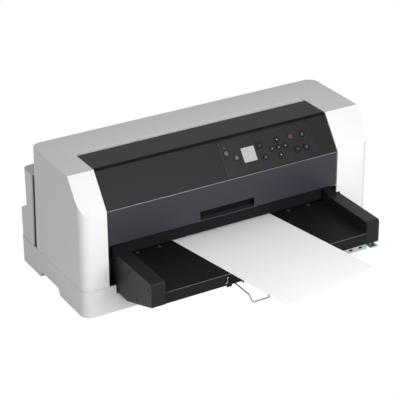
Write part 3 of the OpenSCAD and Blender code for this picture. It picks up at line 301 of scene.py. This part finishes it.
def revolved(name, profile, centre, axis, material, body, turns=24):
    # each profile point (radius, height) goes round the axis through the centre
    p = np.asarray(profile, float)
    a = np.linspace(0, 2 * np.pi, turns, endpoint=False)
    w = np.asarray(axis, float) / np.linalg.norm(axis)
    u = np.cross(w, (0.0, 1.0, 0.0) if abs(w[1]) < 0.9 else (1.0, 0.0, 0.0))
    u /= np.linalg.norm(u)
    v = np.cross(w, u)
    ring = np.cos(a)[:, None] * u + np.sin(a)[:, None] * v
    verts = np.asarray(centre) + p[:, 0, None, None] * ring[None] + p[:, 1, None, None] * w
    return newPiece(name, verts.reshape(-1, 3), gridFaces(len(p), turns, wrapCols=True), material, body)


def smoothPath(points, perSpan=10):
    # Catmull-Rom curve through the points, sampled evenly in each span
    p = np.asarray(points, float)
    q = np.vstack([2 * p[0] - p[1], p, 2 * p[-1] - p[-2]])
    t = np.linspace(0, 1, perSpan, endpoint=False)[:, None]
    spans = [0.5 * (2 * b + (c - a) * t + (2 * a - 5 * b + 4 * c - d) * t ** 2
                    + (3 * b - a - 3 * c + d) * t ** 3)
             for a, b, c, d in zip(q, q[1:], q[2:], q[3:])]
    return np.vstack(spans + [p[-1:]])


def tube(name, path, radius, material, body, around=16):
    # a circle carried along the path, its frame turned as little as possible, closed at both ends by a point
    p = np.asarray(path, float)
    d = np.gradient(p, axis=0)
    d /= np.linalg.norm(d, axis=1)[:, None]
    side = np.cross(d[0], (0.3, 0.2, 0.9))
    frames = []
    for direction in d:
        side = side - direction * side.dot(direction)
        side /= np.linalg.norm(side)
        frames.append(side)
    s = np.array(frames)
    n = np.cross(d, s)
    a = np.linspace(0, 2 * np.pi, around, endpoint=False)
    ring = np.cos(a)[None, :, None] * s[:, None] + np.sin(a)[None, :, None] * n[:, None]
    rings = p[:, None] + radius * ring
    rings = np.concatenate([np.repeat(p[:1, None], around, 1), rings, np.repeat(p[-1:, None], around, 1)])
    faces = gridFaces(len(rings), around, wrapCols=True)
    return newPiece(name, rings.reshape(-1, 3), faces, material, body)


# edges sharper than the angle are rounded; nearly flat ones, in degrees, are joined up first
edgeRounding = {"steps": 3, "angle": 32.0, "merge": 2e-6, "flat": 1.0}


def softened(node, material, width):
    # the solid's own faces joined up again, with its sharp edges rounded
    s = edgeRounding
    obj = bpy.data.objects.new(node + "_soft", nodes[node].data.copy())
    bpy.context.scene.collection.objects.link(obj)
    bm = bmesh.new()
    bm.from_mesh(obj.data)
    bmesh.ops.remove_doubles(bm, verts=bm.verts, dist=s["merge"])
    bmesh.ops.dissolve_limit(bm, angle_limit=math.radians(s["flat"]), verts=bm.verts, edges=bm.edges)
    bm.to_mesh(obj.data)
    bm.free()
    obj.data.shade_smooth()
    bevel = obj.modifiers.new("edges", "BEVEL")
    bevel.width = width * mm
    bevel.segments = s["steps"]
    bevel.limit_method = "ANGLE"
    bevel.angle_limit = math.radians(s["angle"])
    bevel.harden_normals = True
    bevel.miter_outer = "MITER_ARC"
    bevel.use_clamp_overlap = True
    weighted = obj.modifiers.new("weights", "WEIGHTED_NORMAL")
    weighted.keep_sharp = True
    dress(obj, material, bodyOfNode[node])
    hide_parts(node)
    return obj


# each solid's finish, and the width in mm of its rounded edges
softSettings = {
    "upper_case": (caseGrey, 2.2), "lower_case": (caseGrey, 1.6), "rear_housing": (caseGrey, 2.4),
    "rear_cover": (caseGrey, 1.2), "top_cover": (coverBlack, 0.9), "front_window": (windowBlue, 0.6),
    "control_panel": (panelBlack, 0.35), "trim_strip": (trimSilver, 0.3), "display_lens": (screenPale, 0.2),
    "paper_tray": (trayBlack, 0.5), "left_guide": (guideBlack, 2.0), "right_guide": (guideBlack, 2.0),
    "mouth_strip": (trayBlack, 0.6), "rubber_feet": (rubberBlack, 0.8), "case_screws": (zincSteel, 0.2),
    "ac_inlet": (coverBlack, 0.4), "interface_ports": (zincSteel, 0.3), "tray_bracket": (bracketPlate, 0.3),
    "chassis": (zincSteel, 0.5), "side_frames": (zincSteel, 0.4), "platen": (castAlloy, 0.4),
    "front_gear": (nylonWhite, 0.25), "rear_gear": (nylonWhite, 0.25), "idler_gear": (nylonWhite, 0.2),
    "motor_pinion": (turnedBrass, 0.2), "feed_motor": (motorBlack, 0.8), "carriage_motor": (motorBlack, 0.8),
    "carriage_rail": (zincSteel, 0.4), "carriage": (coverBlack, 0.8), "print_head": (castAlloy, 0.5),
    "drive_pulley": (turnedBrass, 0.3), "idler_pulley": (nylonWhite, 0.3),
    "carriage_belt": (rubberBlack, 0.3),
    "ribbon_cartridge": (guideBlack, 0.9), "main_board": (boardGreen, 0.3), "power_supply": (zincSteel, 0.7),
    "tractors": (guideBlack, 0.6), "tractor_shaft": (zincSteel, 0.3), "carriage_shaft": (groundSteel, 0.5),
    "front_feed_roller": (rubberBlack, 0.5), "ribbon_knob": (knobBlue, 0.4),
    "rear_feed_roller": (rubberBlack, 0.5),
    "pinch_rollers": (rubberBlack, 0.5), "mouth_rollers": (rubberBlack, 0.8)}

soft = {name: softened(name, material, width) for name, (material, width) in softSettings.items()}
print("CAD nodes softened:", len(soft))


def secondFinish(node, material, chosen):
    # the faces whose corners, in mm, pass the test take a further finish of the same piece
    data = soft[node].data
    data.materials.append(material)
    corners = np.array([v.co for v in data.vertices]) / mm
    for face in data.polygons:
        if chosen(corners[list(face.vertices)]):
            face.material_index = len(data.materials) - 1


# the finger cup in the window, behind its front face, painted near black for the shade in its hollow
cupSettings = {"centre": -9.0, "half": 61.0, "front": 1.4, "inner": 1.6, "top": 164.0}


def inShadedCup(p):
    s = cupSettings
    deep = p[:, 1].max() > s["inner"] and p[:, 1].min() > s["front"]
    return deep and abs(p[:, 0] - s["centre"]).max() < s["half"] and p[:, 2].max() < s["top"]


secondFinish("front_window", gapAndShadeBlack, inShadedCup)

# radius within which a roller's faces are its steel shaft
shaftSettings = {"front_feed_roller": 6.3, "rear_feed_roller": 6.3, "pinch_rollers": 4.3,
                 "mouth_rollers": 2.3}


def nearAxis(node, radius):
    box = np.array([v.co for v in soft[node].data.vertices]) / mm
    centre = (box.min(0) + box.max(0)) / 2
    return lambda p: np.hypot(p[:, 1] - centre[1], p[:, 2] - centre[2]).max() < radius


for nodeName, radius in shaftSettings.items():
    secondFinish(nodeName, groundSteel, nearAxis(nodeName, radius))

# chips stand above the board's top, and the tall capacitors stand in front of capBack
boardSettings = {"top": 30.2, "capTop": 34.5, "capBack": 90.0}
ribbonSettings = {"top": 102.0, "half": 260.0}
lampSpot = {"right": 8.0}
guideOuter = {"right": -249.9}


def isCapacitor(p):
    return p[:, 2].max() > boardSettings["capTop"] and p[:, 1].max() < boardSettings["capBack"]


def isRibbon(p):
    return p[:, 2].max() < ribbonSettings["top"] and abs(p[:, 0]).max() < ribbonSettings["half"]


secondFinish("main_board", motorBlack, lambda p: p[:, 2].max() > boardSettings["top"])
secondFinish("main_board", capBlue, isCapacitor)
secondFinish("ribbon_cartridge", ribbonInk, isRibbon)
secondFinish("display_lens", keyGrey, lambda p: p[:, 0].max() < lampSpot["right"])
# painted highlight: the outer side of the left guide gets a lighter finish than its top, for the light it
# catches
secondFinish("left_guide", guideSideHighlight, lambda p: p[:, 0].max() < guideOuter["right"])

creaseSettings = {"front": 44.5, "back": 55.2, "low": 275.9, "widest": 4.0}


def onCreaseShade(p):
    # the faces round the cover's bend, the rib that its flat top ends on, painted darker for the shade along
    # the crease
    s = creaseSettings
    inside = p[:, 1].min() > s["front"] and p[:, 1].max() < s["back"] and p[:, 2].min() > s["low"]
    return inside and np.ptp(p[:, 1]) < s["widest"]


secondFinish("top_cover", creaseShadeBlack, onCreaseShade)
print("second finishes laid")

edgeShadeSettings = {"x": -318.75, "z": 280.25, "y0": 52.0, "y1": 186.0, "radius": 0.7, "points": 30}


def edgeShadeLine(s):
    # painted shade: a dark line along the left top edge, let into the rounded edge, for the shade where top
    # and side meet
    path = np.linspace((s["x"], s["y0"], s["z"]), (s["x"], s["y1"], s["z"]), s["points"]) * mm
    tube("upper_case_edge_shade", path, s["radius"] * mm, dotAndEdgeShadeGrey, "machine", around=10)


edgeShadeLine(edgeShadeSettings)

# the tower's lower edge follows the right guide, a little above it
edgeSettings = {"x": (242.9, 252.2), "y": (0.3, 2.7), "rise": 0.7, "top": 138.0,
                "knee": (-3.5, 123.5), "back": (16.5, 133.0)}


def guideEdge(s):
    # a side profile of (y, z) points, its lower edge on the guide's slant, carried across from x0 to x1
    (y0, z0), (y1, z1) = s["knee"], s["back"]
    slope = (z1 - z0) / (y1 - y0)
    low = [(y, z0 + (y - y0) * slope + s["rise"]) for y in s["y"]]
    profile = np.array(low + [(y, s["top"]) for y in reversed(s["y"])])
    n = len(profile)
    verts = np.vstack([np.column_stack([np.full(n, x), profile]) for x in s["x"]]) * mm
    sides = [[k, (k + 1) % n, n + (k + 1) % n, n + k] for k in range(n)]
    ends = [list(range(n))[::-1], list(range(n, 2 * n))]
    newPiece("upper_case_guide_edge", verts, sides + ends, caseGrey, "machine", smooth=False)


guideEdge(edgeSettings)

trayEdgeSettings = {"y": -134.7, "z": 99.7, "half": 220.0, "radius": 0.45, "points": 40}


def trayEdge(s):
    # painted highlight: a pale line along the tray's broken front edge, between the guides
    path = np.linspace((-s["half"], s["y"], s["z"]), (s["half"], s["y"], s["z"]), s["points"]) * mm
    tube("paper_tray_edge_highlight", path, s["radius"] * mm, rimHighlightGrey, "machine", around=10)


trayEdge(trayEdgeSettings)

# place, radius and slot of each dot, and the form of its dome: where it is flat, and how far it sinks in
dotSettings = {"right_guide_screw": ((234.0, -17.5, 123.5), 1.6, "steel"),
               "top_mark": ((170.0, 196.0, 281.0), 1.4, "case_grey")}
domeSettings = {"flat": 0.7, "crown": 0.02, "rim": 0.25, "foot": 0.3}


def surfaceDot(name, place, radius, s):
    # a low dome let into the surface
    profile = [(0, 0.0), (radius * s["flat"], -s["crown"]), (radius, -s["rim"]), (0, -s["foot"])]
    revolved(name, np.array(profile) * mm, np.array(place) * mm, (0, 0, 1), dotAndEdgeShadeGrey, "machine")


for dotName, (place, radius, slotName) in dotSettings.items():
    surfaceDot(dotName, place, radius, domeSettings)

keyMaterials = {"power_button": keyBlue, "home_button": keyGrey, "stop_button": keyOrange}
keyRounding = 0.5
for nodeName in sorted(nodes):
    if nodeName.endswith("_button"):
        soft[nodeName] = softened(nodeName, keyMaterials.get(nodeName, keyBlack), keyRounding)

sheetSettings = {"corner": (-57.3, -287.0, 100.3), "turn": 10.0, "width": 216.0, "length": 356.0,
                 "thick": 0.3, "grid": (37, 61)}


def paperSheet(s):
    # a flat grid turned about its front corner, its two faces joined round the rim
    across, along = (np.linspace(0, s[side], count) for side, count in zip(("width", "length"), s["grid"]))
    u, v = np.meshgrid(across, along, indexing="ij")
    a = math.radians(s["turn"])
    x = s["corner"][0] + u * math.cos(a) - v * math.sin(a)
    y = s["corner"][1] + u * math.sin(a) + v * math.cos(a)
    z = np.full_like(x, s["corner"][2])
    low = np.stack([x, y, z], -1).reshape(-1, 3)
    high = low + (0, 0, s["thick"])
    rows, cols = x.shape
    ids = np.arange(rows * cols).reshape(rows, cols)
    rim = np.concatenate([ids[0, :], ids[1:, -1], ids[-1, -2::-1], ids[-2:0:-1, 0]])
    n = rows * cols
    side = np.stack([rim, np.roll(rim, -1), np.roll(rim, -1) + n, rim + n], -1)
    faces = np.vstack([gridFaces(rows, cols)[:, ::-1], gridFaces(rows, cols, offset=n), side])
    verts = np.vstack([low, high]) * mm
    piece = newPiece("paper_sheet_face", verts, faces, paperWhite, "sheet", smooth=False)
    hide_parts("paper_sheet")


paperSheet(sheetSettings)

# points of one leg and half the front bar, their x counted from the left leg's axis
wireSettings = {
    "x": (-77.5, -41.5), "radius": 1.2,
    "half": [(0, -104, 80), (0, -150, 80), (0, -184, 80), (0, -188, 79.2), (0, -197.5, 72.9),
             (0.7, -200.4, 70.9), (4, -201, 70.5), (18, -201, 70.5)]}


def wireSupport(s):
    # the half bar and its mirror image, with a round wire carried along them
    x0, x1 = s["x"]
    half = np.array(s["half"]) + (x0, 0, 0)
    mirrored = half[-2::-1] * (-1, 1, 1) + (x0 + x1, 0, 0)
    path = smoothPath(np.vstack([half, mirrored])) * mm
    piece = tube("wire_support_bent", path, s["radius"] * mm, brightWire, "wire")
    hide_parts("wire_support")


wireSupport(wireSettings)

# points counted from the clip's place on the tray's front wall
clipSettings = {
    "place": (-91.0, -134.6, 0.0), "radius": 0.9,
    "line": [(2.2, 0, 91), (1.2, -0.2, 93.4), (-0.4, -0.3, 92.8), (-0.6, 0, 89),
             (0.3, 0, 86.5), (-0.4, 0, 84), (-2.4, -0.2, 82), (-3.8, 0, 81.6)]}


def wireClip(s):
    path = smoothPath(np.array(s["line"]) + s["place"]) * mm
    piece = tube("wire_clip_bent", path, s["radius"] * mm, brightWire, "machine", around=12)
    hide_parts("wire_clip")


wireClip(clipSettings)
print("wire pieces swept")

slopeSettings = {"bendY": 48.7, "bendZ": 280.6, "angle": math.atan2(66.0, 47.2)}
slopeOut = np.array([0.0, -math.sin(slopeSettings["angle"]), math.cos(slopeSettings["angle"])])


def onSlope(x, s, h):
    # x across, s down the cover's slope from its bend, h out of it; x and s may be arrays
    a = slopeSettings["angle"]
    y = slopeSettings["bendY"] - s * math.cos(a) - h * math.sin(a)
    z = slopeSettings["bendZ"] - s * math.sin(a) + h * math.cos(a)
    return np.stack([x, y, z], -1)


def slopeTube(name, line, lift, radius, material, body="cover", around=8):
    # a thin tube along a line of (x, s) points on the slope
    x, s = np.asarray(line, float).T
    tube(name, onSlope(x, s, lift) * mm, radius * mm, material, body, around)


panelSettings = {"x": (-8.75, 199.55), "s": (7.35, 79.2), "inset": 0.75, "points": 12,
                 "groove": {"radius": 0.42, "lift": -0.1}, "edge": {"radius": 0.22, "lift": 0.02}}


def panelOutline(p):
    # a dark groove round three sides of the panel, and a painted highlight, a pale line along its broken
    # edge, at two of them
    (x0, x1), (s0, s1), inset = p["x"], p["s"], p["inset"]
    groove = [(x0, s1), (x0, s0), (x1, s0), (x1, s1)]
    edge = [(x0 + inset, s0 + inset), (x1 - inset, s0 + inset), (x1 - inset, s1)]
    for kind, line, material in (("groove", groove, gapAndShadeBlack), ("edge", edge, edgeHighlightGrey)):
        for k, (a, b) in enumerate(zip(line, line[1:])):
            path = np.linspace(a, b, p["points"])
            slopeTube(f"panel_{kind}{k}", path, p[kind]["lift"], p[kind]["radius"], material)


panelOutline(panelSettings)

# middle of each key: across, and down the slope from its bend
keyPlaces = {
    "power": (5.3, 31.5), "stop": (150.7, 29.6), "home": (24.1, 44.1), "menu": (85.2, 56.8),
    "up": (119.2, 28.9), "left": (104.0, 44.1), "ok": (119.2, 44.1), "right": (134.4, 44.1),
    "down": (119.2, 59.3), "load": (177.1, 30.6), "back": (79.5, 31.5), "tear_off": (158.0, 57.1),
    "line_feed": (178.6, 57.1)}
keySigns = {
    "up": "dot", "left": "dot", "ok": "dot", "right": "dot", "down": "dot", "menu": "ring", "load": "page",
    "power": "bar", "home": "ring", "back": "bar", "tear_off": "bar", "line_feed": "page"}
signSettings = {"height": 1.22, "strip": 0.16, "dot": (0.95, 1.05), "dotRise": 0.03, "ring": 1.7, "bar": 1.8,
                "page": (1.4, 1.9)}


def signLine(form, g):
    # the sign's own line round the middle of its key: a ring, a bar or the four sides of a page
    if form == "ring":
        a = np.linspace(0, 2 * np.pi, 25)
        return g["ring"] * np.column_stack([np.cos(a), np.sin(a)])
    if form == "bar":
        return np.linspace((-g["bar"], 0), (g["bar"], 0), 7)
    corners = np.array([(-1, -1), (1, -1), (1, 1), (-1, 1), (-1, -1)]) * g["page"]
    sides = [np.linspace(a, b, 6, endpoint=False) for a, b in zip(corners, corners[1:])]
    return np.vstack(sides + [corners[-1:]])


def keySign(name, form, g):
    # small printed signs, each a thin raised strip or, for a dot, a low disc
    x, s = keyPlaces[name]
    if form == "dot":
        (top, foot), rise = g["dot"], g["dotRise"]
        profile = np.array([(0, rise), (top, rise), (foot, -rise), (0, -rise)]) * mm
        middle = onSlope(x, s, g["height"]) * mm
        revolved(name + "_sign", profile, middle, slopeOut, markWhite, name + "_key")
    else:
        line = signLine(form, g) + (x, s)
        slopeTube(name + "_sign", line, g["height"], g["strip"], markWhite, name + "_key",
                  around=6)


for keyName, form in keySigns.items():
    keySign(keyName, form, signSettings)
print("key signs drawn:", len(keySigns))


def roundedLoop(halfX, halfS, corner, steps=8):
    # a rectangle with round corners; a circle where the corner is as large as the half width
    a = np.linspace(0, np.pi / 2, steps)
    quarters = []
    for k, (sx, sy) in enumerate(((1, 1), (-1, 1), (-1, -1), (1, -1))):
        v = a + k * np.pi / 2
        quarters.append(np.column_stack([sx * (halfX - corner) + corner * np.cos(v),
                                         sy * (halfS - corner) + corner * np.sin(v)]))
    loop = np.vstack(quarters + [quarters[0][:1]])
    # on a circle each quarter ends where the next begins, and only one of the two points stays
    apart = np.linalg.norm(np.diff(loop, axis=0), axis=1) > 1e-6
    return loop[np.append(True, apart)]


# half width, half height and corner of the dark gap round each key; a key not named here has the round one
wellSettings = {"radius": 0.42, "lift": 0.02, "round": (5.7, 5.7, 5.7), "power": (5.9, 5.9, 5.9),
                "back": (6.7, 5.7, 1.4), "tear_off": (6.7, 5.7, 1.4), "line_feed": (6.7, 5.7, 1.4)}

for keyName, place in keyPlaces.items():
    loop = roundedLoop(*wellSettings.get(keyName, wellSettings["round"])) + place
    slopeTube(keyName + "_well", loop, wellSettings["lift"], wellSettings["radius"], gapAndShadeBlack)

# the thin dark strip round the screen
screenSettings = {"place": (52.7, 43.1), "half": 15.25, "corner": 1.5, "radius": 0.495, "lift": 0.02}


def screenFrame(s):
    loop = roundedLoop(s["half"], s["half"], s["corner"], steps=6) + s["place"]
    slopeTube("screen_frame", loop, s["lift"], s["radius"], gapAndShadeBlack)


screenFrame(screenSettings)
